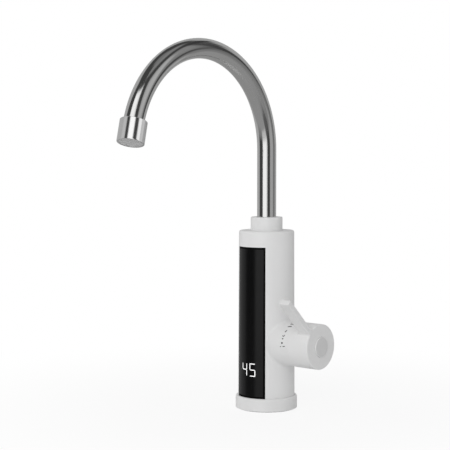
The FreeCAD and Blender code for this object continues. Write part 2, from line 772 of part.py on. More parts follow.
def handle_knob():
    """White knob with its lever, hub and magnet post."""
    head = knob_outline().extrude(ACROSS * (KNOB_END - blend_start))
    head.translate(V(blend_start, 0, HANDLE_Z))
    head = head.cut(lever_blend_waste())
    knob = head.fuse(bar(KNOB_R, knob_start, KNOB_END)).removeSplitter()
    knob = knob.makeFillet(KNOB_ROUND, [edge for edge in knob.Edges if lies_at(edge, KNOB_END)])
    face_back = KNOB_END - KNOB_FACE
    knob = knob.cut(bar(KNOB_R - KNOB_WALL, knob_start, face_back))
    hub = bar(HUB_R, neck_end + HUB_CLEAR, face_back)
    hub = hub.cut(stem(STEM_R + TOUCH_GAP, neck_end + HUB_CLEAR, face_back))
    hub.rotate(V(0, 0, HANDLE_Z), ACROSS, -LEVER_ANGLE)
    post_z = HANDLE_Z - MAGNET_PLACE
    post = bar(MAGNET_R + MAGNET_WALL, magnet_pocket_x(), face_back, z=post_z)
    pocket_end = magnet_pocket_x() + MAGNET_T - MAGNET_PROUD
    post = post.cut(bar(MAGNET_R + TOUCH_GAP, magnet_pocket_x(), pocket_end, z=post_z))
    knob = knob.fuse(hub).fuse(post)
    knob = knob.cut(bar(CAP_R + SEAT_GAP, cap_floor, KNOB_END))
    knob = knob.cut(bar(HANDLE_SCREW_R + SEAT_GAP, face_back, cap_floor))
    return lean(knob.removeSplitter())


def switch_magnet():
    """Magnet in the knob that works the reed switch."""
    start = magnet_pocket_x() - MAGNET_PROUD
    return lean(bar(MAGNET_R, start, start + MAGNET_T, z=HANDLE_Z - MAGNET_PLACE))


def handle_screw():
    """Screw that holds the knob on the spindle."""
    screw = cap_screw(HANDLE_SCREW_R, HANDLE_SCREW_LENGTH, HANDLE_SCREW_HEAD_R, HANDLE_SCREW_HEAD_H)
    screw.rotate(ORIGIN, V(0, 1, 0), -90)
    screw.translate(V(cap_floor, 0, HANDLE_Z))
    return screw


def handle_cap():
    """Round plug that covers the screw in the knob's end face."""
    end = KNOB_END + CAP_PROUD
    cap = bar(CAP_R, cap_floor, end)
    cap = round_rim(cap, CAP_R, V(end, 0, HANDLE_Z), CAP_ROUND)
    return cap.cut(bar(HANDLE_SCREW_HEAD_R + AIR_GAP, cap_floor, end - CAP_ROOF))


def heater_tank():
    """Stainless heating chamber, open at the top."""
    tank = disc(tank_r, tank_bottom, lid_bottom).fuse(disc(lid_r, lid_bottom - TANK_FLANGE_T, lid_bottom))
    tank = tank.cut(disc(tank_bore, tank_floor_top, lid_bottom))
    tank = tank.cut(disc(NIPPLE_R + SEAT_GAP, tank_bottom, tank_floor_top, x=nipple_x))
    for angle in (element_angle(0), element_angle(ELEMENT_LEGS - 1)):
        x = element_place_r * math.cos(angle)
        y = element_place_r * math.sin(angle)
        tank = tank.cut(disc(ELEMENT_R + TOUCH_GAP, tank_bottom, tank_floor_top, x, y))
    hole = disc(SCREW_R + TOUCH_GAP, lid_bottom - TANK_FLANGE_T, lid_bottom, x=lid_screw_place)
    for copy in around(hole, LID_SCREW_COUNT, 180.0 / LID_SCREW_COUNT):
        tank = tank.cut(copy)
    return tank.removeSplitter()


def element_angle(leg):
    """Direction of a leg of the heating element about the tank's axis."""
    step = 2 * math.pi / ELEMENT_LEGS
    return math.pi + step * (leg + 0.5)


def element_leg(leg, height):
    """Point on a leg of the heating element."""
    angle = element_angle(leg)
    return V(element_place_r * math.cos(angle), element_place_r * math.sin(angle), height)


def heating_element():
    """Sheathed heater bent up and down round the tank, with both terminals through the floor."""
    bend_r = element_place_r * math.sin(math.pi / ELEMENT_LEGS)
    low = tank_floor_top + ELEMENT_END_GAP + ELEMENT_R + bend_r
    high = lid_bottom - LID_SPIGOT - ELEMENT_END_GAP - ELEMENT_R - bend_r
    terminal = tank_bottom - TERMINAL_LENGTH
    edges = []
    for leg in range(ELEMENT_LEGS):
        bottom = terminal if leg in (0, ELEMENT_LEGS - 1) else low
        ends = [element_leg(leg, bottom), element_leg(leg, high)]
        if leg % 2:
            ends.reverse()
        edges.append(Part.LineSegment(*ends).toShape())
        if leg < ELEMENT_LEGS - 1:
            after = element_leg(leg + 1, ends[1].z)
            bulge = V(0, 0, -bend_r if leg % 2 else bend_r)
            edges.append(Part.Arc(ends[1], (ends[1] + after) * 0.5 + bulge, after).toShape())
    rim = Part.Wire(Part.makeCircle(ELEMENT_R, element_leg(0, terminal), UP))
    return Part.Wire(edges).makePipeShell([rim], True, False)


def tank_lid():
    """Brass lid with its spigot, clamping shoulder and the outlet neck that takes the spout."""
    spigot_r = tank_bore - SEAT_GAP
    spigot_bottom = lid_bottom - LID_SPIGOT
    points = [(LID_PASSAGE_R, spigot_bottom), (spigot_r, spigot_bottom), (spigot_r, lid_bottom)]
    points += [(lid_r, lid_bottom), (lid_r, lid_top), (outlet_shoulder_r, lid_top)]
    points += [(outlet_shoulder_r, roof), (OUTLET_R, roof), (OUTLET_R, outlet_top), (OUTLET_BORE, outlet_top)]
    bore_bottom = bush_bottom - REST_GAP
    points += [(OUTLET_BORE, bore_bottom), (LID_PASSAGE_R, bore_bottom)]
    lid = turned(points).cut(seal_groove(spigot_r, tank_bore, lid_seal_z()))
    lid = lid.cut(bar(PROBE_R + TOUCH_GAP, -lid_r, 0, z=probe_z()))
    hole = disc(SCREW_R + SEAT_GAP, lid_bottom, lid_top, x=lid_screw_place)
    for copy in around(hole, LID_SCREW_COUNT, 180.0 / LID_SCREW_COUNT):
        lid = lid.cut(copy)
    return lid


def lid_seal_z():
    """Height of the seal between lid and tank."""
    return lid_bottom - LID_SPIGOT / 2


def lid_seal():
    """Seal between lid and tank."""
    return seal(tank_bore, lid_seal_z())


def lid_screws():
    """Screws that hold the lid on the tank's flange."""
    screw = cap_screw(SCREW_R, LID_SCREW_LENGTH, SCREW_HEAD_R, SCREW_HEAD_H)
    screw.rotate(ORIGIN, ACROSS, 180)
    screw.translate(V(lid_screw_place, 0, lid_top))
    return Part.makeCompound(around(screw, LID_SCREW_COUNT, 180.0 / LID_SCREW_COUNT))


def probe_z():
    """Height of the temperature probe, in the thickness of the lid."""
    return (lid_bottom + lid_top) / 2


def temperature_probe():
    """Probe through the lid into the outlet water."""
    probe = bar(PROBE_R, -lid_r, -PROBE_TIP, z=probe_z())
    return probe.fuse(bar(PROBE_HEAD_R, -lid_r - PROBE_HEAD_T, -lid_r, z=probe_z())).removeSplitter()


def thermal_cutout():
    """Overheat switch on a saddle at the back of the tank."""
    half = CUTOUT_BASE / 2
    pad_back = tank_r + CUTOUT_BASE_T
    saddle = block((-half, half), (0, pad_back), (CUTOUT_Z - half, CUTOUT_Z + half))
    saddle = saddle.cut(disc(tank_r, CUTOUT_Z - CUTOUT_BASE, CUTOUT_Z + CUTOUT_BASE))
    can = Part.makeCylinder(CUTOUT_R, CUTOUT_T, V(0, pad_back, CUTOUT_Z), V(0, 1, 0))
    return saddle.fuse(can).removeSplitter()


def half_chord(offset, low, high):
    """Half of the room across the round body at an offset from its axis, between two heights."""
    return math.sqrt((room_r(low, high) - REST_GAP) ** 2 - offset ** 2)


def display_board():
    """Circuit board behind the window."""
    top = lid_bottom - TANK_FLANGE_T - BOARD_END_GAP
    half = half_chord(board_front, BOARD_BOTTOM, top)
    return block((-half, half), (-board_front, -board_back), (BOARD_BOTTOM, top))


def led_module():
    """Light source for the digits, curved to the back of the window."""
    half = MODULE_W / 2
    front = body_r(DIGIT_Z) - WINDOW_T - REST_GAP
    module = block((-half, half), (-front, -board_front), (DIGIT_Z - MODULE_H / 2, DIGIT_Z + MODULE_H / 2))
    return module.common(disc(front, DIGIT_Z - MODULE_H, DIGIT_Z + MODULE_H))


def control_board():
    """Power circuit board at the back of the body."""
    top = tank_bottom - TERMINAL_LENGTH - BOARD_GAP
    half = half_chord(control_back, BOARD_BOTTOM, top)
    return block((-half, half), (control_front, control_back), (BOARD_BOTTOM, top))


def on_control_board(width, height, middle):
    """Component on the control board, as deep as the round body leaves room for."""
    half = width / 2
    low = middle - height / 2
    high = middle + height / 2
    return block((-half, half), (control_back, half_chord(half, low, high)), (low, high))


def power_relay():
    """Relay that switches the heater."""
    return on_control_board(RELAY_W, RELAY_H, RELAY_Z)


def terminal_block():
    """Terminals for the supply cord, over the grommet."""
    return on_control_board(BLOCK_W, BLOCK_H, BLOCK_Z)


def triac_heat_sink():
    """Block that cools the power switch against the cold inlet socket."""
    half = SINK_W / 2
    sink = block((-half, half), (0, control_front), (SINK_Z - SINK_H / 2, SINK_Z + SINK_H / 2))
    sink = sink.cut(disc(socket_r, SINK_Z - SINK_H, SINK_Z + SINK_H))
    return sink.cut(bar(barrel_r, BARREL_BACK, BARREL_FRONT))


def digit_prism(x, points, across=1, up=1):
    """Prism for one bar of a digit at x, mirrored across or down, pointing out through the window."""
    corners = [V(x + across * place, 0, DIGIT_Z + up * rise) for place, rise in points]
    face = Part.Face(Part.makePolygon(corners + corners[:1]))
    return face.extrude(V(0, -2 * BODY_R_FOOT, 0))


def digit_bars(x):
    """The seven bars of one digit, by their usual letters: mitred corners, pointed ends at the middle."""
    out_w = DIGIT_W / 2
    out_h = DIGIT_H / 2
    in_w = out_w - DIGIT_STROKE
    in_h = out_h - DIGIT_STROKE
    mid = DIGIT_STROKE / 2
    gap = DIGIT_GAP
    flat = [(gap - out_w, out_h), (out_w - gap, out_h), (in_w - gap, in_h), (gap - in_w, in_h)]
    side = [(out_w, out_h - gap), (out_w, mid + gap), (out_w - mid, gap)]
    side += [(in_w, mid + gap), (in_w, in_h - gap)]
    middle = [(out_w - mid - gap, 0), (in_w - gap, mid), (gap - in_w, mid)]
    middle += [(mid + gap - out_w, 0), (gap - in_w, -mid), (in_w - gap, -mid)]
    return {
        "a": digit_prism(x, flat),
        "b": digit_prism(x, side),
        "c": digit_prism(x, side, up=-1),
        "d": digit_prism(x, flat, up=-1),
        "e": digit_prism(x, side, across=-1, up=-1),
        "f": digit_prism(x, side, across=-1),
        "g": digit_prism(x, middle),
    }


def digit_lenses(lit):
    """Light guides through the window: those lit for the number shown, or the dark rest."""
    blank = window_blank(SEAT_GAP)
    lenses = []
    for x, letters in ((-DIGIT_PITCH / 2, "bcfg"), (DIGIT_PITCH / 2, "acdfg")):
        for letter, prism in digit_bars(x).items():
            if (letter in letters) == lit:
                lenses.append(blank.common(prism))
    return Part.makeCompound(lenses)


def lit_segments():
    """Light guides that glow."""
    return digit_lenses(True)


def unlit_segments():
    """Light guides that stay dark."""
    return digit_lenses(False)


def display_window():
    """Black curved window over the display, pierced for the light guides."""
    return window_blank(SEAT_GAP).cut(lit_segments()).cut(unlit_segments())


def spout_nut():
    """White union nut that holds the spout down on the outlet neck."""
    bore = OUTLET_R + SEAT_GAP
    hole = TUBE_R + REST_GAP
    nut = turned([(bore, BODY_TOP), (NUT_R, BODY_TOP), (NUT_R, nut_top), (hole, nut_top),
                  (hole, lip_bottom), (bore, lip_bottom)])
    return round_rim(nut, NUT_R, V(0, 0, nut_top), NUT_ROUND)


def slip_ring():
    """Plastic ring that the spout turns on."""
    return ring(BUSH_FLANGE_R, OUTLET_BORE, outlet_top, outlet_top + SLIP_T)


def bush_seal_heights():
    """Heights of the two seals on the swivel bush."""
    first = bush_bottom + BUSH_SEAL_END
    return first, first + BUSH_SEAL_PITCH


def swivel_bush():
    """Brass bush on the foot of the spout, turning in the outlet neck."""
    tube_seat = TUBE_R + TOUCH_GAP
    bush = turned([(BUSH_BORE, bush_bottom), (bush_r, bush_bottom), (bush_r, bush_flange_bottom),
                   (BUSH_FLANGE_R, bush_flange_bottom), (BUSH_FLANGE_R, bush_top), (tube_seat, bush_top),
                   (tube_seat, tube_bottom), (BUSH_BORE, tube_bottom)])
    for height in bush_seal_heights():
        bush = bush.cut(seal_groove(bush_r, OUTLET_BORE, height))
    return bush


def swivel_seals():
    """Seals on the swivel bush."""
    return Part.makeCompound([seal(OUTLET_BORE, height) for height in bush_seal_heights()])


def spout_run(radius):
    """Swan-neck form of one radius: riser, bend towards the front, short straight end."""
    riser = disc(radius, tube_bottom, ARC_START_Z)
    rim = Part.Face(Part.Wire(Part.makeCircle(radius, V(0, 0, ARC_START_Z), UP)))
    bend = rim.revolve(V(0, -ARC_R, ARC_START_Z), ACROSS, ARC_ANGLE)
    tail = at_spout_end(disc(radius, 0, TAIL_LENGTH))
    return riser.fuse(bend).fuse(tail)


def at_spout_end(shape):
    """Upright shape moved to the end of the bend, pointing the way the water leaves."""
    turn = math.radians(ARC_ANGLE)
    place = V(0, -ARC_R * (1 - math.cos(turn)), ARC_START_Z + ARC_R * math.sin(turn))
    heading = V(0, -math.sin(turn), math.cos(turn))
    shape.Placement = FreeCAD.Placement(place, FreeCAD.Rotation(UP, heading)).multiply(shape.Placement)
    return shape


def spout_tube():
    """Stainless swan-neck tube."""
    return spout_run(TUBE_R).cut(spout_run(TUBE_R - TUBE_WALL)).removeSplitter()


def at_ball(shape):
    """Shape made round the origin, moved to the ball at the end of the tube."""
    shape.translate(V(0, 0, BALL_PLACE))
    return at_spout_end(shape)


def tilted(shape):
    """Shape made round the origin, tilted on the ball at the end of the tube."""
    side = math.radians(LEAN_SIDE)
    shape.rotate(ORIGIN, V(-math.sin(side), math.cos(side), 0), AERATOR_LEAN)
    return at_ball(shape)


def aerator_ball():
    """Brass ball soldered to the end of the tube."""
    zone = ring(aerator_r, BALL_BORE, -BALL_RISE, BALL_DROP).common(Part.makeSphere(ball_r))
    return at_ball(zone).cut(spout_run(TUBE_R))


def aerator_washer():
    """Rubber washer between ball and jet plate, hollowed to the ball."""
    washer = ring(insert_r, washer_bore, WASHER_PLACE, washer_end)
    return tilted(washer.cut(Part.makeSphere(ball_r + TOUCH_GAP)))


def aerator_insert():
    """Plastic jet plate that mixes air into the water."""
    insert = disc(insert_r, washer_end, insert_end)
    jets = [disc(JET_R, washer_end, insert_end, x, y) for x, y in hole_grid(washer_bore - JET_R, JET_PITCH)]
    return tilted(insert.cut(Part.makeCompound(jets)))


def aerator_mesh():
    """Fine outlet mesh under the jet plate."""
    mesh = disc(insert_r, insert_end, mesh_end)
    reach = aerator_bore - AERATOR_LIP - 2 * MESH_HOLE_R
    holes = [disc(MESH_HOLE_R, insert_end, mesh_end, x, y) for x, y in hole_grid(reach, MESH_PITCH)]
    return tilted(mesh.cut(Part.makeCompound(holes)))


def aerator_housing():
    """Steel cup that hangs on the ball and holds washer, jet plate and mesh."""
    cup = disc(aerator_r, -AERATOR_RISE, aerator_end)
    for end in (-AERATOR_RISE, aerator_end):
        cup = round_rim(cup, aerator_r, V(0, 0, end), AERATOR_ROUND)
    cup = cup.cut(disc(aerator_bore, 0, mesh_end))
    cup = cup.cut(disc(aerator_bore - AERATOR_LIP, mesh_end, aerator_end))
    cup = cup.cut(Part.makeSphere(ball_r + RUN_GAP))
    mouth = Part.makeCone(mouth_r, mouth_r - MOUTH_TAPER, MOUTH_DEPTH, V(0, 0, -AERATOR_RISE), UP)
    return tilted(cup.cut(mouth))


PIECES = (
    base_ring, base_gasket, base_plate, base_screws, cord_grommet, inlet_shank, inlet_screen, shank_seal,
    body_shell, display_window, lit_segments, unlit_segments, display_board, led_module, control_board,
    power_relay, terminal_block, triac_heat_sink, valve_body, nipple_seal, cartridge_seal, fixed_disc,
    moving_disc, cartridge_body, spindle, spindle_seal, boss_bezel, reed_switch, handle_knob, switch_magnet,
    handle_screw, handle_cap, heater_tank, heating_element, tank_lid, lid_seal, lid_screws,
    temperature_probe, thermal_cutout, spout_nut, slip_ring, swivel_bush, swivel_seals, spout_tube,
    aerator_ball, aerator_washer, aerator_insert, aerator_mesh, aerator_housing,
)

os.makedirs("parts", exist_ok=True)
for piece in PIECES:
    shape = piece()
    shape.exportStep("parts/" + piece.__name__ + ".step")
    print(piece.__name__, len(shape.Solids), "solids", round(shape.Volume, 1), "mm3", shape.isValid())
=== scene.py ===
"""Looks of an instant hot water tap: a finish for every piece, the printed scale on the boss, studio and camera.

Metres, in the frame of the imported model: deck at z = 0, +Z up, the spout points to -Y and the knob to +X.
"""
import json
import math

import bpy
from bpy.props import FloatProperty, FloatVectorProperty, PointerProperty
from mathutils import Euler, Matrix, Vector


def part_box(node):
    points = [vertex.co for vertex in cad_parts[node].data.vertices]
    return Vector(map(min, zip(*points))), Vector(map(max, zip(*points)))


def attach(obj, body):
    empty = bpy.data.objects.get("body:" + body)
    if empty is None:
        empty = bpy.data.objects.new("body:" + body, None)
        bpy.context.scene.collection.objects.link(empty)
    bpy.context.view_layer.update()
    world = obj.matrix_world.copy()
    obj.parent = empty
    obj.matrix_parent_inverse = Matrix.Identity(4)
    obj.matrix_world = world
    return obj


bl_info = {
    "name": "Instant Hot Water Tap",
    "version": (1, 0, 0),
    "blender": (4, 5, 0),
    "location": "View3D > Sidebar > Tap",
    "description": "Finishes, printed scale and studio of a deck tap that heats water as it flows",
    "category": "Object",
}

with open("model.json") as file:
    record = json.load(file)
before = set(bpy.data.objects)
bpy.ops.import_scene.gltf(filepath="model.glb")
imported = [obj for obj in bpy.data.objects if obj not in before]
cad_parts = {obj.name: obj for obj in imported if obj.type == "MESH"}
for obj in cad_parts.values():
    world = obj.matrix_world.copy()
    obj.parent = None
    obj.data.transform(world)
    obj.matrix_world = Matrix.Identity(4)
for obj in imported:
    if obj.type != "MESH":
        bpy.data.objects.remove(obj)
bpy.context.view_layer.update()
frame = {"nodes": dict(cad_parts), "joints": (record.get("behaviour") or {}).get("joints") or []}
NODES = frame["nodes"]

MM = 0.001
RIGHT_ANGLE = math.radians(90.0)

# Places on the CAD model: knob's axis, radius of the boss, centre and radius of the spout's bend
KNOB_Z = next(joint["pos_m"][2] for joint in frame["joints"] if joint["name"] == "handle_turn")
BOSS_R = 21.9 * MM
BEND_Y = -94.0 * MM
BEND_Z = 257.45 * MM
BEND_R = 94.0 * MM

# Refraction, soft edge of a line on a surface, heights of fine relief
PLASTIC_IOR = 1.46
WINDOW_IOR = 1.33
LINE_EDGE = 0.1 * MM
FINE_RELIEF = 0.01 * MM
COARSE_RELIEF = 0.03 * MM
DRAWN_RELIEF = 0.004 * MM

# Patterns, in features per metre
FINE_GRAIN = 2600.0
MOULD_CLOUDS = 55.0
MOULD_SMEARS = 160.0
LATHE_RINGS = 3800.0
STAINS = 120.0
DRAW_LINES = 2600.0
TUBE_CLOUDS = 45.0
CHROME_CLOUDS = 130.0
BAR_CLOUDS = 900.0
BOARD_TRACKS = 260.0
DRAWN_OUT = 0.02    # thickness of the drawn lines against their length

# Roughness: how far it strays with smears, lathe rings, drawn lines and clouds; the aerator's range,
# the window's border, and what the knob's plug adds to the body's
SMEAR_ROUGH = (-0.07, 0.07)
RING_ROUGH = (-0.06, 0.08)
DRAWN_ROUGH = (-0.012, 0.012)
CLOUD_ROUGH = (-0.02, 0.03)
CHROME_ROUGH = (0.08, 0.15)
BORDER_ROUGH = 0.95
PLUG_DULLER = 0.08

# Dimmest and brightest share of the lit bars' glow, and share of light that the reed switch's glass lets through
BAR_GLOW = (0.9, 1.0)
REED_CLEAR = 0.85

# Dull patch of the bend: place and softness of its edges, across the tube and along it
DULL_ACROSS = (-1.5 * MM, 3.0 * MM)
DULL_BEGIN = (40.0 * MM, 20.0 * MM)
DULL_END = (125.0 * MM, 20.0 * MM)

# Colours of inner pieces
JET_PLATE = (0.62, 0.62, 0.60)
HEAT_SINK = (0.62, 0.62, 0.64)
MAGNET = (0.10, 0.10, 0.11)
TRACK_GAP = (0.05, 0.2, 0.09)
REED_GLASS = (0.75, 0.88, 0.78)
BOARD_PARTS = (
    ("LED Housing", (0.72, 0.72, 0.69), "led_module"),
    ("Relay Housing", (0.015, 0.015, 0.018), "power_relay"),
    ("Terminal Block", (0.03, 0.16, 0.07), "terminal_block"),
)

# Printed scale: angle above the front and place along the boss, half length, half width, turn on the spot
SCALE_MARKS = (
    ("dot_cold", -0.5, 35.75, 0.56, 0.56, 0.0),
    ("dash_cold", 0.6, 39.6, 1.4, 0.38, 7.0),
    ("dot_bold", 8.9, 37.2, 0.95, 0.95, 0.0),
    ("dot_low", 20.0, 37.3, 0.72, 0.72, 0.0),
    ("tick_short", 26.9, 36.75, 0.85, 0.42, -42.0),
    ("tick_long", 27.6, 38.1, 1.1, 0.42, 57.0),
    ("dash_middle", 41.0, 38.1, 1.4, 0.46, 58.0),
    ("dash_bold", 57.4, 39.1, 2.2, 0.64, 10.0),
    ("dash_hot", 67.4, 39.4, 1.9, 0.44, 16.7),
    ("dot_hot", 73.4, 37.2, 0.5, 0.5, 0.0),
)
MARK_SIDES = 24
MARK_ROOT = 0.12 * MM    # depth of the ink under the boss's surface
MARK_MIDDLE = 1e-4       # share of a mark's half width that counts as its middle line

# Cards round the set: middle and half width in degrees right of the camera, lowest and highest elevation, level
CARDS = (
    ("left skirt", -72.0, 26.0, -26.0, -11.0, 0.25),
    ("right skirt", 75.0, 37.0, -26.0, -6.0, 0.24),
    ("left wall", -140.0, 44.0, -22.0, 50.0, 0.47),
    ("right wall", 60.0, 21.0, -9.0, 42.0, 0.43),
    ("right wall end", 88.0, 8.0, -9.0, 42.0, 0.22),
    ("right high end", 88.0, 8.0, 14.0, 46.0, 0.28),
    ("right high card", 66.0, 16.0, 9.0, 34.0, 0.52),
    ("back wall", 154.0, 42.0, -22.0, 54.0, 0.44),
    ("back gap", 121.0, 18.0, 40.0, 57.0, 0.05),
    ("back gap foot", 113.0, 10.0, 28.0, 42.0, 0.09),
    ("softbox foot", -22.0, 27.0, -22.0, 0.0, 0.62),
    ("front softbox", -22.0, 27.0, -9.0, 52.0, 1.16),
    ("softbox end", -0.5, 4.5, -9.0, 52.0, 0.82),
    ("roof", 60.0, 70.0, 62.0, 91.0, 0.25),
    ("top", 0.0, 200.0, 80.0, 91.0, 0.21),
    ("floor", 0.0, 200.0, -91.0, -21.0, 0.335),
    ("dark front", 17.0, 18.0, -32.0, -12.0, 0.12),
)
# Cards that the aerator alone mirrors, in the same order of values
AERATOR_CARDS = (
    ("left wall", -113.5, 56.0, -91.0, 91.0, 0.50),
    ("left wall end", -73.0, 15.5, -91.0, 91.0, 0.61),
    ("softbox", -2.5, 24.0, -91.0, 91.0, 1.26),
    ("right card", 69.0, 15.0, -91.0, 91.0, 1.06),
    ("right wall", 100.0, 16.0, -91.0, 91.0, 0.66),
    ("back wall", 150.0, 36.0, -91.0, 91.0, 0.44),
)
DARK_ROOM = 0.06
CARD_EDGE = math.radians(4.0)
AERATOR_EDGE = math.radians(7.0)
DOME_R = 10.0
AERATOR_DOME_R = 9.0
DOME_Z = 0.2

# Lamps: name, place, width, height
LAMPS = (
    ("key", (0.96, -1.95, 1.16), 1.6, 1.4),
    ("fill", (-1.98, -0.77, 0.72), 1.4, 1.4),
    ("back", (-1.55, 1.77, 0.57), 1.4, 1.4),
)
LAMP_AIM = Vector((0.0, 0.0, 0.15))

FLOOR_SIZE = 12.0
FLOOR_ROUGH = 0.9
SHADOW_REACH = 0.26    # distance from the tap at which the floor is half way to white
SHADOW_FADE = 0.2

CAMERA_PLACE = (0.80869, -0.98465, 0.25458)
CAMERA_TIP = math.radians(86.759)
CAMERA_TURN = math.radians(41.258)
SENSOR_WIDTH = 36.0


def colour(name, description, default):
    """Colour property of a finish."""
    return FloatVectorProperty(name=name, description=description, default=default,
                               subtype="COLOR", size=3, min=0.0, max=1.0)


def share(name, description, default):
    """Property between nothing and all."""
    return FloatProperty(name=name, description=description, default=default, min=0.0, max=1.0, subtype="FACTOR")


def length(name, description, default):
    """Length property, in metres."""
    return FloatProperty(name=name, description=description, default=default, min=0.0, precision=5,
                         subtype="DISTANCE", unit="LENGTH")


def power(name, description, default):
    """Power of a lamp."""
    return FloatProperty(name=name, description=description, default=default, min=0.0, max=500.0, unit="POWER")


class TapHousing(bpy.types.PropertyGroup):
    """White mouldings and the plug in the knob."""
    white: colour("White", "Colour of the white mouldings", (0.83, 0.83, 0.83))
    plug: colour("Plug", "Colour of the plug in the knob's end", (0.70, 0.70, 0.70))
    # The plug's rim is a painted highlight, not wear: a white ring where light catches the plug's edge.
    painted_highlight_rim: length("Plug rim", "Radius at which the plug's worn bright rim begins", 9.3 * MM)
    gloss: share("Roughness", "Roughness of the white mouldings", 0.34)
    foot: colour("Foot plate", "Colour of the plate under the body", (0.10, 0.10, 0.11))


class TapWindow(bpy.types.PropertyGroup):
    """Dark window and the digits in it."""
    black: colour("Black", "Colour of the window", (0.0036, 0.0036, 0.0039))
    gloss: share("Roughness", "Roughness of the window", 0.24)
    # The border is painted shade: a black band that stands in for the shade line of the gap round the window, with
    # matt roughness.
    gap_shade_border: length("Border", "Width of the matt border round the window", 1.8 * MM)
    glow: colour("Glow", "Colour of the lit bars of the digits", (1.0, 1.0, 1.0))
    guide: colour("Guide", "Colour of the light guides' clear plastic", (0.16, 0.16, 0.16))
    level: FloatProperty(name="Level", description="Strength of the lit bars", default=1.25, min=0.0, max=5.0)


class TapSpout(bpy.types.PropertyGroup):
    """Bright metal of spout and aerator."""
    steel: colour("Steel", "Colour of the polished tube", (0.74, 0.74, 0.735))
    chrome: colour("Chrome", "Colour of the aerator's housing", (0.76, 0.76, 0.76))
    polish: share("Roughness", "Roughness of the polished tube", 0.11)
    dull: share("Bend dulling", "Roughness that bending adds on the inside of the arch", 0.16)
    mesh: colour("Mesh", "Colour of the outlet mesh", (0.68, 0.68, 0.68))
    shine: share("Mesh shine", "How much of the mesh's wires mirrors, the rest scatters", 0.2)


class TapWorks(bpy.types.PropertyGroup):
    """Pieces inside the body and under the deck."""
    brass: colour("Brass", "Colour of the machined brass", (0.60, 0.42, 0.16))
    steel: colour("Steel", "Colour of tank, heater and screws", (0.50, 0.50, 0.50))
    rubber: colour("Rubber", "Colour of seals and gasket", (0.018, 0.018, 0.019))
    board: colour("Board", "Colour of the circuit boards", (0.012, 0.09, 0.035))
    ceramic: colour("Ceramic", "Colour of the valve discs", (0.80, 0.78, 0.72))


class TapMarks(bpy.types.PropertyGroup):
    """Printed scale on the boss."""
    ink: colour("Ink", "Colour of the printed marks", (0.03, 0.03, 0.032))
    size: FloatProperty(name="Size", description="Size of the marks, 1 as printed", default=1.0, min=0.1, max=3.0)
    film: length("Film", "How far the ink stands off the boss", 0.04 * MM)


class TapStudio(bpy.types.PropertyGroup):
    """Light and camera."""
    ambient: FloatProperty(name="Ambient", description="Strength of the even light all round", default=0.5,
                           min=0.0, max=4.0)
    key: power("Key", "Power of the large light in front", 19.3)
    fill: power("Fill", "Power of the light at the left", 6.9)
    back: power("Back", "Power of the light behind", 12.0)
    shadow: share("Floor glow", "How white the floor shows at the foot, where it keeps the shadow", 0.86)
    floor: colour("Floor", "Colour of the floor", (0.9, 0.9, 0.9))
    lens: FloatProperty(name="Lens", description="Focal length of the camera, in millimetres", default=102.556,
                        min=1.0, max=500.0)


PROPERTY_GROUPS = (
    ("tap_housing", TapHousing),
    ("tap_window", TapWindow),
    ("tap_spout", TapSpout),
    ("tap_works", TapWorks),
    ("tap_marks", TapMarks),
    ("tap_studio", TapStudio),
)


def rgba(values):
    """Colour with full alpha."""
    return (values[0], values[1], values[2], 1.0)


def darker(values, level):
    """Colour times a level."""
    return rgba([level * value for value in values])


def grey(level):
    """Grey of a level."""
    return (level, level, level, 1.0)


class Tree:
    """Short way to add and join the nodes of one tree."""

    def __init__(self, tree):
        self.tree = tree

    def add(self, kind, settings=None, **inputs):
        """New node; settings are its own values, inputs are links or plain values by socket name."""
        node = self.tree.nodes.new(kind)
        for key, value in (settings or {}).items():
            setattr(node, key, value)
        for key, value in inputs.items():
            self.feed(node, key.replace("_", " "), value)
        return node

    def feed(self, node, name, value):
        """Set or link one input, by name or by place."""
        socket = node.inputs[name]
        if isinstance(value, bpy.types.NodeSocket):
            self.tree.links.new(value, socket)
        else:
            socket.default_value = value

    def group(self, name, inputs=()):
        """Shared node group with its inputs; returns its outputs."""
        node = self.add("ShaderNodeGroup", {"node_tree": shared(name)})
        for label, value in inputs:
            self.feed(node, label, value)
        return node.outputs

    def place(self):
        """Place on the piece, in metres."""
        return self.add("ShaderNodeTexCoord").outputs["Object"]

    def split(self, vector):
        """X, Y and Z of a vector."""
        return self.add("ShaderNodeSeparateXYZ", Vector=vector).outputs

    def math(self, operation, *values):
        """Math node's result."""
        node = self.add("ShaderNodeMath", {"operation": operation})
        for place, value in enumerate(values):
            self.feed(node, place, value)
        return node.outputs[0]

    def reach(self, first, second):
        """Length of the diagonal over two sides."""
        squares = [self.math("MULTIPLY", side, side) for side in (first, second)]
        return self.math("SQRT", self.math("ADD", *squares))

    def dimmed(self, tint, level):
        """Colour times a level that changes over the surface."""
        node = self.add("ShaderNodeVectorMath", {"operation": "SCALE"}, Scale=level)
        self.feed(node, 0, tint)
        return node.outputs[0]

    def blend(self, factor, first, second):
        """Colour between two colours."""
        node = self.add("ShaderNodeMix", {"data_type": "RGBA"}, Factor=factor)
        self.feed(node, 6, first)
        self.feed(node, 7, second)
        return node.outputs[2]

    def clouded(self, tint, cloud, most, level):
        """Colour that a cloud dims, at most by a share of the way to a level of it."""
        return self.blend(self.spread(cloud, 0.0, most), rgba(tint), darker(tint, level))

    def noise(self, vector, scale, detail=2.0):
        """Value of a noise at a scale, in features per metre."""
        return self.add("ShaderNodeTexNoise", Vector=vector, Scale=scale, Detail=detail).outputs["Fac"]

    def edge(self, value, at, soft, before, after):
        """Smooth step from one level to another, where the value passes a place."""
        node = self.add("ShaderNodeMapRange", {"interpolation_type": "SMOOTHSTEP"}, Value=value,
                        From_Min=at - soft, From_Max=at + soft, To_Min=before, To_Max=after)
        return node.outputs[0]

    def spread(self, value, low, high):
        """Value from 0..1 moved to low..high."""
        return self.add("ShaderNodeMapRange", Value=value, To_Min=low, To_Max=high).outputs[0]


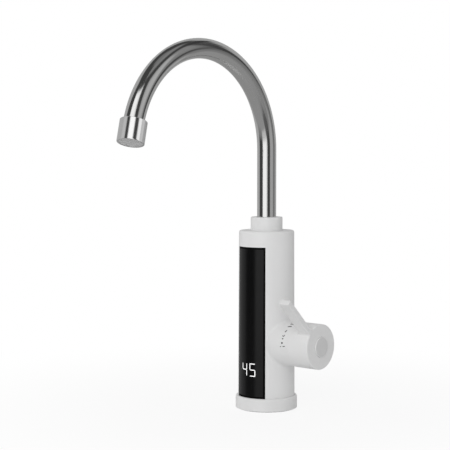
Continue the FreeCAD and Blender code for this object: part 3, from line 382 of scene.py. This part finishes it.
def new_group(name, inputs, outputs):
    """Empty shader node group with named sockets; returns the group, its tree, and its input and output nodes."""
    group = bpy.data.node_groups.new(name, "ShaderNodeTree")
    for way, sockets in (("INPUT", inputs), ("OUTPUT", outputs)):
        for label, kind in sockets:
            group.interface.new_socket(label, in_out=way, socket_type=kind)
    tree = Tree(group)
    return group, tree, tree.add("NodeGroupInput").outputs, tree.add("NodeGroupOutput")


COLOUR = "NodeSocketColor"
VALUE = "NodeSocketFloat"
VECTOR = "NodeSocketVector"
FINISH = [("Colour", COLOUR), ("Roughness", VALUE), ("Height", VALUE)]


def moulded_skin_group():
    """Moulded plastic or rubber: cloudy tint, uneven gloss and a fine grain."""
    group, tree, given, made = new_group(
        "Moulded Skin",
        [("Colour", COLOUR), ("Clouding", VALUE), ("Roughness", VALUE), ("Grain Size", VALUE)], FINISH)
    place = tree.place()
    cloud = tree.noise(place, MOULD_CLOUDS, detail=3.0)
    dim = tree.math("SUBTRACT", 1.0, tree.math("MULTIPLY", given["Clouding"], cloud))
    tree.feed(made, "Colour", tree.dimmed(given["Colour"], dim))
    smear = tree.spread(tree.noise(place, MOULD_SMEARS, detail=4.0), *SMEAR_ROUGH)
    tree.feed(made, "Roughness", tree.math("ADD", given["Roughness"], smear))
    tree.feed(made, "Height", tree.noise(place, given["Grain Size"]))
    return group


def turned_metal_group():
    """Lathe-turned metal: fine rings about the Z axis of the given vector."""
    group, tree, given, made = new_group(
        "Turned Metal",
        [("Vector", VECTOR), ("Colour", COLOUR), ("Roughness", VALUE), ("Depth", VALUE)], FINISH)
    x, y, z = tree.split(given["Vector"])
    rings = tree.add("ShaderNodeCombineXYZ", X=tree.reach(x, y), Y=0.0, Z=z).outputs[0]
    line = tree.noise(rings, LATHE_RINGS)
    stain = tree.noise(given["Vector"], STAINS, detail=3.0)
    shade = tree.math("MULTIPLY", given["Depth"], tree.math("ADD", line, stain))
    tree.feed(made, "Colour", tree.dimmed(given["Colour"], tree.math("SUBTRACT", 1.0, shade)))
    tree.feed(made, "Roughness", tree.math("ADD", given["Roughness"], tree.spread(line, *RING_ROUGH)))
    tree.feed(made, "Height", line)
    return group


def spout_run_group():
    """Place on the spout, unrolled: X across the tube, Y towards the outside of the bend, Z along it."""
    group, tree, _, made = new_group("Spout Run", [], [("Vector", VECTOR)])
    x, riser_out, height = tree.split(tree.place())
    y = tree.math("SUBTRACT", riser_out, BEND_Y)
    z = tree.math("SUBTRACT", height, BEND_Z)
    bend_out = tree.math("SUBTRACT", tree.reach(y, z), BEND_R)
    bend_along = tree.math("MULTIPLY", tree.math("ARCTAN2", z, y), BEND_R)
    riser = tree.add("ShaderNodeCombineXYZ", X=x, Y=riser_out, Z=z)
    bend = tree.add("ShaderNodeCombineXYZ", X=x, Y=bend_out, Z=bend_along)
    on_bend = tree.math("GREATER_THAN", z, 0.0)
    mix = tree.add("ShaderNodeMix", {"data_type": "VECTOR"}, Factor=on_bend)
    tree.feed(mix, 4, riser.outputs[0])
    tree.feed(mix, 5, bend.outputs[0])
    tree.feed(made, "Vector", mix.outputs[1])
    return group


GROUP_MAKERS = {
    "Moulded Skin": moulded_skin_group,
    "Turned Metal": turned_metal_group,
    "Spout Run": spout_run_group,
}
GROUPS = {}


def shared(name):
    """Shared node group, built the first time it is asked for."""
    if name not in GROUPS:
        GROUPS[name] = GROUP_MAKERS[name]()
    return GROUPS[name]


def new_material(name):
    """Material with a Principled shader; returns the material, its tree and the shader."""
    material = bpy.data.materials.new(name)
    material.use_nodes = True
    return material, Tree(material.node_tree), material.node_tree.nodes["Principled BSDF"]


def bump(tree, shader, height, distance, strength):
    """Fine relief on a shader; distance in metres."""
    node = tree.add("ShaderNodeBump", Strength=strength, Distance=distance, Height=height)
    tree.feed(shader, "Normal", node.outputs[0])


def moulded(name, tint, roughness, clouding=0.04, grain=FINE_GRAIN, relief=FINE_RELIEF, strength=0.15):
    """Finish of a moulded plastic or rubber piece; returns the material, its tree and the shader."""
    material, tree, shader = new_material(name)
    skin = tree.group("Moulded Skin", (("Colour", rgba(tint)), ("Clouding", clouding),
                                       ("Roughness", roughness), ("Grain Size", grain)))
    tree.feed(shader, "Base Color", skin["Colour"])
    tree.feed(shader, "Roughness", skin["Roughness"])
    bump(tree, shader, skin["Height"], relief, strength)
    return material, tree, shader


def turned_metal(name, tint, roughness, depth=0.1, on_knob_axis=False):
    """Finish of a machined metal piece, with its rings about the body's axis or the knob's."""
    material, tree, shader = new_material(name)
    turn = tree.add("ShaderNodeMapping", {"vector_type": "TEXTURE"}, Vector=tree.place())
    if on_knob_axis:
        turn.inputs["Location"].default_value = (0.0, 0.0, KNOB_Z)
        turn.inputs["Rotation"].default_value = (0.0, RIGHT_ANGLE, 0.0)
    metal = tree.group("Turned Metal", (("Vector", turn.outputs[0]), ("Colour", rgba(tint)),
                                        ("Roughness", roughness), ("Depth", depth)))
    tree.feed(shader, "Base Color", metal["Colour"])
    tree.feed(shader, "Roughness", metal["Roughness"])
    shader.inputs["Metallic"].default_value = 1.0
    bump(tree, shader, metal["Height"], FINE_RELIEF, strength=0.2)
    return material


def fed_by(shader, name):
    """Socket that feeds a shader's input."""
    return shader.inputs[name].links[0].from_socket


def dress(material, *names):
    """Give CAD nodes a material."""
    for name in names:
        mesh = NODES[name].data
        mesh.materials.clear()
        mesh.materials.append(material)


def deselect():
    """Nothing selected, no active object."""
    bpy.ops.object.select_all(action="DESELECT")
    bpy.context.view_layer.objects.active = None


def pick(piece, test):
    """Edit mode on a piece, with only the vertices selected whose place passes a test."""
    bpy.ops.object.mode_set(mode="EDIT")
    bpy.ops.mesh.select_all(action="DESELECT")
    bpy.ops.object.mode_set(mode="OBJECT")
    for vertex in piece.data.vertices:
        vertex.select = test(vertex.co)
    bpy.ops.object.mode_set(mode="EDIT")


class TAP_OT_housing(bpy.types.Operator):
    """Finish the white mouldings, the plug in the knob and the foot plate"""
    bl_idname = "tap.housing"
    bl_label = "Housing"

    def execute(self, context):
        look = context.scene.tap_housing
        white, _, shader = moulded("White Moulding", look.white, look.gloss, clouding=0.025)
        shader.inputs["IOR"].default_value = PLASTIC_IOR
        dress(white, "body_shell", "base_ring", "handle_knob", "spout_nut", "boss_bezel")
        self.plug(look)
        foot, _, _ = moulded("Foot Plate", look.foot, roughness=0.55, clouding=0.2, grain=1800.0,
                             relief=COARSE_RELIEF, strength=0.4)
        dress(foot, "base_plate")
        return {"FINISHED"}

    def plug(self, look):
        """Grey plug in the knob's end, with a painted highlight: a white ring round its edge."""
        plug, tree, shader = moulded("Knob Plug", look.plug, look.gloss + PLUG_DULLER, clouding=0.03)
        _, y, z = tree.split(tree.place())
        reach = tree.reach(y, tree.math("SUBTRACT", z, KNOB_Z))
        # Painted highlight: beyond this radius the plug turns white, where light would catch its edge.
        painted_highlight_rim = tree.edge(reach, look.painted_highlight_rim, LINE_EDGE, 0.0, 1.0)
        tree.feed(shader, "Base Color", tree.blend(painted_highlight_rim, fed_by(shader, "Base Color"), rgba(look.white)))
        dress(plug, "handle_cap")


class TAP_OT_window(bpy.types.Operator):
    """Finish the dark window and the bars of its digits"""
    bl_idname = "tap.window"
    bl_label = "Window"

    def execute(self, context):
        look = context.scene.tap_window
        self.pane(look)
        self.lit_bars(look)
        return {"FINISHED"}

    def pane(self, look):
        """Black pane with a border of painted shade: black and matt round its edge, where the gap to the shell
        casts a shade line.
        """
        black, tree, shader = moulded("Window Black", look.black, look.gloss, clouding=0.3, grain=700.0,
                                      strength=0.03)
        shader.inputs["IOR"].default_value = WINDOW_IOR
        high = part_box("display_window")[1]
        ring_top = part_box("base_ring")[1].z
        x, _, z = tree.split(tree.place())
        # Painted shade: along the sides, the top and the foot the pane turns black, for the gap's shade line, and
        # matt.
        side = tree.edge(tree.math("ABSOLUTE", x), high.x - look.gap_shade_border, LINE_EDGE, 0.0, 1.0)
        top = tree.edge(z, high.z - look.gap_shade_border, LINE_EDGE, 0.0, 1.0)
        foot = tree.edge(z, ring_top + look.gap_shade_border, LINE_EDGE, 1.0, 0.0)
        gap_shade_border = tree.math("MAXIMUM", side, tree.math("MAXIMUM", top, foot))
        matt = tree.math("MULTIPLY", gap_shade_border, BORDER_ROUGH)
        tree.feed(shader, "Base Color", tree.blend(gap_shade_border, fed_by(shader, "Base Color"), grey(0.0)))
        tree.feed(shader, "Roughness", tree.math("MAXIMUM", fed_by(shader, "Roughness"), matt))
        dress(black, "display_window", "unlit_segments")

    def lit_bars(self, look):
        """Light guides that glow, a little unevenly."""
        lit, tree, shader = moulded("Lit Bar", look.guide, roughness=0.2, clouding=0.05)
        uneven = tree.spread(tree.noise(tree.place(), BAR_CLOUDS, detail=1.0), *BAR_GLOW)
        tree.feed(shader, "Emission Color", tree.dimmed(look.glow, uneven))
        shader.inputs["Emission Strength"].default_value = look.level
        dress(lit, "lit_segments")


class TAP_OT_spout(bpy.types.Operator):
    """Finish the spout tube and the aerator"""
    bl_idname = "tap.spout"
    bl_label = "Spout"

    def execute(self, context):
        look = context.scene.tap_spout
        self.tube(look)
        self.aerator(look)
        return {"FINISHED"}

    def tube(self, look):
        """Drawn and polished steel, duller on the inside of the bend."""
        steel, tree, shader = new_material("Polished Tube")
        run = tree.group("Spout Run")["Vector"]
        drawn = tree.add("ShaderNodeMapping", Vector=run, Scale=(1.0, 1.0, DRAWN_OUT))
        line = tree.noise(drawn.outputs[0], DRAW_LINES, detail=3.0)
        cloud = tree.noise(run, TUBE_CLOUDS, detail=3.0)
        tree.feed(shader, "Base Color", tree.clouded(look.steel, cloud, most=0.35, level=0.88))
        uneven = tree.spread(cloud, *[look.polish + stray for stray in CLOUD_ROUGH])
        rough = tree.math("ADD", tree.spread(line, *DRAWN_ROUGH), uneven)
        tree.feed(shader, "Roughness", tree.math("ADD", rough, self.dulled(tree, run, look.dull)))
        shader.inputs["Metallic"].default_value = 1.0
        bump(tree, shader, line, DRAWN_RELIEF, strength=0.04)
        dress(steel, "spout_tube")

    def dulled(self, tree, run, level):
        """Roughness of the dull patch on the inside of the bend."""
        _, out, along = tree.split(run)
        inside = tree.edge(out, *DULL_ACROSS, 1.0, 0.0)
        begun = tree.edge(along, *DULL_BEGIN, 0.0, level)
        ended = tree.edge(along, *DULL_END, 1.0, 0.0)
        return tree.math("MULTIPLY", inside, tree.math("MULTIPLY", begun, ended))

    def aerator(self, look):
        """Chrome housing and ball, outlet mesh and jet plate."""
        chrome, tree, shader = new_material("Aerator Chrome")
        cloud = tree.noise(tree.place(), CHROME_CLOUDS, detail=3.0)
        tree.feed(shader, "Base Color", tree.clouded(look.chrome, cloud, most=0.3, level=0.92))
        tree.feed(shader, "Roughness", tree.spread(cloud, *CHROME_ROUGH))
        shader.inputs["Metallic"].default_value = 1.0
        dress(chrome, "aerator_housing", "aerator_ball")
        mesh, _, shader = moulded("Outlet Mesh", look.mesh, roughness=0.45, clouding=0.08, grain=3200.0,
                                  strength=0.3)
        shader.inputs["Metallic"].default_value = look.shine
        dress(mesh, "aerator_mesh")
        jets, _, _ = moulded("Jet Plate", JET_PLATE, roughness=0.45)
        dress(jets, "aerator_insert", "slip_ring")


class TAP_OT_works(bpy.types.Operator):
    """Finish the pieces inside the body and under the deck"""
    bl_idname = "tap.works"
    bl_label = "Inner works"

    def execute(self, context):
        look = context.scene.tap_works
        self.metals(look)
        self.seals_and_discs(look)
        self.electrics(look)
        return {"FINISHED"}

    def metals(self, look):
        """Brass, steel, screws, heat sink and magnet."""
        dress(turned_metal("Turned Brass", look.brass, roughness=0.28), "inlet_shank", "tank_lid", "swivel_bush")
        dress(turned_metal("Valve Brass", look.brass, roughness=0.32, on_knob_axis=True),
              "valve_body", "cartridge_body", "spindle")
        dress(turned_metal("Inner Steel", look.steel, roughness=0.3),
              "heater_tank", "heating_element", "temperature_probe", "inlet_screen", "thermal_cutout")
        dress(turned_metal("Screw Zinc", darker(look.steel, level=0.9), roughness=0.38, depth=0.16),
              "base_screws", "lid_screws", "handle_screw")
        dress(turned_metal("Heat Sink", HEAT_SINK, roughness=0.42), "triac_heat_sink")
        dress(turned_metal("Magnet", MAGNET, roughness=0.45, on_knob_axis=True), "switch_magnet")

    def seals_and_discs(self, look):
        """Rubber seals and ceramic valve discs."""
        rubber, _, _ = moulded("Rubber", look.rubber, roughness=0.6, clouding=0.3, grain=1500.0,
                               relief=COARSE_RELIEF, strength=0.4)
        dress(rubber, "base_gasket", "cord_grommet", "shank_seal", "nipple_seal", "cartridge_seal", "spindle_seal",
              "lid_seal", "swivel_seals", "aerator_washer")
        ceramic, _, _ = moulded("Ceramic", look.ceramic, roughness=0.18, clouding=0.06)
        dress(ceramic, "fixed_disc", "moving_disc")

    def electrics(self, look):
        """Circuit boards, what stands on them, and the reed switch."""
        board, tree, shader = moulded("Circuit Board", look.board, roughness=0.4, clouding=0.25)
        tracks = tree.add("ShaderNodeTexBrick", Vector=tree.place(), Scale=BOARD_TRACKS, Color1=rgba(look.board),
                          Color2=darker(look.board, level=0.8), Mortar=rgba(TRACK_GAP), Mortar_Size=0.03)
        tree.feed(shader, "Base Color", tracks.outputs["Color"])
        dress(board, "display_board", "control_board")
        for name, tint, node in BOARD_PARTS:
            plastic, _, _ = moulded(name, tint, roughness=0.48, clouding=0.12)
            dress(plastic, node)
        glass, _, shader = moulded("Reed Glass", REED_GLASS, roughness=0.1, clouding=0.1)
        shader.inputs["Transmission Weight"].default_value = REED_CLEAR
        dress(glass, "reed_switch")


class TAP_OT_marks(bpy.types.Operator):
    """Print the temperature scale on the fixed boss as plain dots and dashes"""
    bl_idname = "tap.marks"
    bl_label = "Printed scale"

    def execute(self, context):
        look = context.scene.tap_marks
        ink, _, _ = moulded("Scale Ink", look.ink, roughness=0.5, clouding=0.2)
        grow = look.size * MM
        for name, angle, x, half_length, half_width, turn in SCALE_MARKS:
            piece = self.mark("mark_" + name, half_length * grow, half_width * grow, look.film)
            self.print_on(piece, math.radians(angle), x * MM, math.radians(turn))
            piece.data.materials.append(ink)
            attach(piece, "tap_body")
        return {"FINISHED"}

    def mark(self, name, half_length, half_width, film):
        """Round-ended mark, flat at the origin."""
        deselect()
        bpy.ops.mesh.primitive_circle_add(vertices=MARK_SIDES, radius=half_width, fill_type="NGON")
        piece = bpy.context.object
        piece.name = name
        for side in (-1.0, 1.0):
            pick(piece, lambda place: place.x * side > half_width * MARK_MIDDLE)
            bpy.ops.transform.translate(value=(side * (half_length - half_width), 0.0, 0.0))
            bpy.ops.object.mode_set(mode="OBJECT")
        bpy.ops.object.mode_set(mode="EDIT")
        bpy.ops.mesh.select_all(action="SELECT")
        bpy.ops.mesh.extrude_region_move(TRANSFORM_OT_translate={"value": (0.0, 0.0, film + MARK_ROOT)})
        bpy.ops.mesh.select_all(action="SELECT")
        bpy.ops.mesh.normals_make_consistent(inside=False)
        bpy.ops.object.mode_set(mode="OBJECT")
        return piece

    def print_on(self, piece, lift, x, turn):
        """Put a mark on the boss, at an angle above the front, turned on its spot."""
        out = Vector((0.0, -math.cos(lift), math.sin(lift)))
        upright = Euler((RIGHT_ANGLE - lift, 0.0, 0.0)).to_matrix()
        piece.rotation_euler = (upright @ Matrix.Rotation(turn, 3, "Z")).to_euler()
        piece.location = Vector((x, 0.0, KNOB_Z)) + out * (BOSS_R - MARK_ROOT)
        bpy.ops.object.transform_apply(location=True, rotation=True, scale=True)


class TAP_OT_studio(bpy.types.Operator):
    """Set up floor, light, card domes and camera"""
    bl_idname = "tap.studio"
    bl_label = "Studio"

    def execute(self, context):
        look = context.scene.tap_studio
        context.scene.view_settings.view_transform = "Standard"
        self.world(context, look)
        self.floor(look)
        self.dome("card_dome", DOME_R, CARDS, CARD_EDGE, "EXCLUDE")
        self.dome("aerator_dome", AERATOR_DOME_R, AERATOR_CARDS, AERATOR_EDGE, "INCLUDE")
        for name, place, width, height in LAMPS:
            self.lamp(context, name, place, width, height, getattr(look, name))
        self.camera(context, look)
        return {"FINISHED"}

    def seen(self, tree):
        """Factor that is 1 for rays that show the background itself."""
        path = tree.add("ShaderNodeLightPath").outputs
        straight = tree.math("ADD", path["Is Camera Ray"], path["Is Glossy Ray"])
        node = tree.add("ShaderNodeMath", {"operation": "ADD", "use_clamp": True})
        tree.feed(node, 0, straight)
        tree.feed(node, 1, path["Is Transmission Ray"])
        return node.outputs[0]

    def world(self, context, look):
        """Even light all round; white where it is seen."""
        world = bpy.data.worlds.new("Studio World")
        world.use_nodes = True
        context.scene.world = world
        tree = Tree(world.node_tree)
        backdrop = world.node_tree.nodes["Background"]
        tree.feed(backdrop, "Color", grey(1.0))
        tree.feed(backdrop, "Strength", tree.spread(self.seen(tree), look.ambient, 1.0))

    def floor(self, look):
        """Pale floor that shows white and keeps a faint shadow round the foot."""
        deselect()
        bpy.ops.mesh.primitive_plane_add(size=FLOOR_SIZE, location=(0.0, 0.0, 0.0))
        floor = bpy.context.object
        floor.name = "floor"
        material, tree, shader = new_material("Studio Floor")
        tree.feed(shader, "Base Color", rgba(look.floor))
        tree.feed(shader, "Roughness", FLOOR_ROUGH)
        glow = tree.add("ShaderNodeEmission", Color=grey(1.0), Strength=1.0)
        away = tree.add("ShaderNodeVectorMath", {"operation": "LENGTH"})
        tree.feed(away, 0, tree.place())
        white = tree.edge(away.outputs["Value"], SHADOW_REACH, SHADOW_FADE, look.shadow, 1.0)
        mix = tree.add("ShaderNodeMixShader")
        tree.feed(mix, 0, tree.math("MULTIPLY", self.seen(tree), white))
        tree.feed(mix, 1, shader.outputs[0])
        tree.feed(mix, 2, glow.outputs[0])
        tree.feed(tree.tree.nodes["Material Output"], "Surface", mix.outputs[0])
        floor.data.materials.append(material)
        floor.visible_glossy = False

    def dome(self, name, radius, cards, edge, aerator):
        """Sphere of cards, which only mirrors see; aerator says if they light it alone or all but it."""
        deselect()
        bpy.ops.mesh.primitive_uv_sphere_add(segments=64, ring_count=32, radius=radius,
                                             location=(0.0, 0.0, DOME_Z))
        dome = bpy.context.object
        dome.name = name
        material, tree, shader = new_material(name)
        tree.tree.nodes.remove(shader)
        glow = tree.add("ShaderNodeEmission", Color=self.card_shade(tree, cards, edge), Strength=1.0)
        surface = glow.outputs[0]
        if aerator == "INCLUDE":
            clear = tree.add("ShaderNodeAddShader")
            tree.feed(clear, 0, surface)
            tree.feed(clear, 1, tree.add("ShaderNodeBsdfTransparent").outputs[0])
            surface = clear.outputs[0]
        tree.feed(tree.tree.nodes["Material Output"], "Surface", surface)
        dome.data.materials.append(material)
        for ray in ("camera", "diffuse", "transmission", "volume_scatter", "shadow"):
            setattr(dome, "visible_" + ray, False)
        mirrors = bpy.data.collections.new(name + "_mirrors")
        mirrors.objects.link(NODES["aerator_housing"])
        mirrors.collection_objects[0].light_linking.link_state = aerator
        dome.light_linking.receiver_collection = mirrors

    def card_shade(self, tree, cards, edge):
        """Greys of a dome: a dark room, with the cards laid over it in order."""
        x, y, z = tree.split(tree.place())
        turn = tree.math("SUBTRACT", tree.math("ARCTAN2", x, tree.math("MULTIPLY", y, -1.0)), CAMERA_TURN)
        rise = tree.math("ARCTAN2", z, tree.reach(x, y))
        shade = grey(DARK_ROOM)
        for name, middle, half, low, high, level in cards:
            off = tree.math("WRAP", tree.math("SUBTRACT", turn, math.radians(middle)), math.pi, -math.pi)
            across = tree.edge(tree.math("ABSOLUTE", off), math.radians(half), edge, 1.0, 0.0)
            above = tree.edge(rise, math.radians(low), edge, 0.0, 1.0)
            below = tree.edge(rise, math.radians(high), edge, 1.0, 0.0)
            mask = tree.math("MULTIPLY", across, tree.math("MULTIPLY", above, below))
            shade = tree.blend(mask, shade, grey(level))
            shade.node.label = name
        return shade

    def lamp(self, context, name, place, width, height, energy):
        """Area light that points at the tap and shows in no mirror."""
        data = bpy.data.lights.new(name, "AREA")
        data.shape = "RECTANGLE"
        data.size = width
        data.size_y = height
        data.energy = energy
        lamp = bpy.data.objects.new(name, data)
        context.scene.collection.objects.link(lamp)
        lamp.location = place
        lamp.rotation_euler = (LAMP_AIM - lamp.location).to_track_quat("-Z", "Y").to_euler()
        lamp.visible_glossy = False
        lamp.visible_camera = False

    def camera(self, context, look):
        """Camera at the photograph's viewing angle."""
        data = bpy.data.cameras.new("camera")
        data.sensor_width = SENSOR_WIDTH
        data.lens = look.lens
        camera = bpy.data.objects.new("camera", data)
        context.scene.collection.objects.link(camera)
        camera.location = CAMERA_PLACE
        camera.rotation_euler = (CAMERA_TIP, 0.0, CAMERA_TURN)
        context.scene.camera = camera


OPERATORS = (TAP_OT_housing, TAP_OT_window, TAP_OT_spout, TAP_OT_works, TAP_OT_marks, TAP_OT_studio)


class TAP_PT_panel(bpy.types.Panel):
    """Steps of the tap, in order"""
    bl_idname = "TAP_PT_panel"
    bl_label = "Instant hot water tap"
    bl_space_type = "VIEW_3D"
    bl_region_type = "UI"
    bl_category = "Tap"

    def draw(self, context):
        for group, _ in PROPERTY_GROUPS:
            settings = getattr(context.scene, group)
            for name in settings.__annotations__:
                self.layout.prop(settings, name)
        for operator in OPERATORS:
            self.layout.operator(operator.bl_idname)


def register():
    """Register the property groups, operators and the panel."""
    for name, group in PROPERTY_GROUPS:
        bpy.utils.register_class(group)
        setattr(bpy.types.Scene, name, PointerProperty(type=group))
    for operator in OPERATORS:
        bpy.utils.register_class(operator)
    bpy.utils.register_class(TAP_PT_panel)


def unregister():
    """Take everything out again."""
    bpy.utils.unregister_class(TAP_PT_panel)
    for operator in reversed(OPERATORS):
        bpy.utils.unregister_class(operator)
    for name, group in reversed(PROPERTY_GROUPS):
        delattr(bpy.types.Scene, name)
        bpy.utils.unregister_class(group)


def main():
    """Register everything and run every step."""
    register()
    bpy.ops.tap.housing()
    bpy.ops.tap.window()
    bpy.ops.tap.spout()
    bpy.ops.tap.works()
    bpy.ops.tap.marks()
    bpy.ops.tap.studio()


if __name__ == "__main__":
    main()
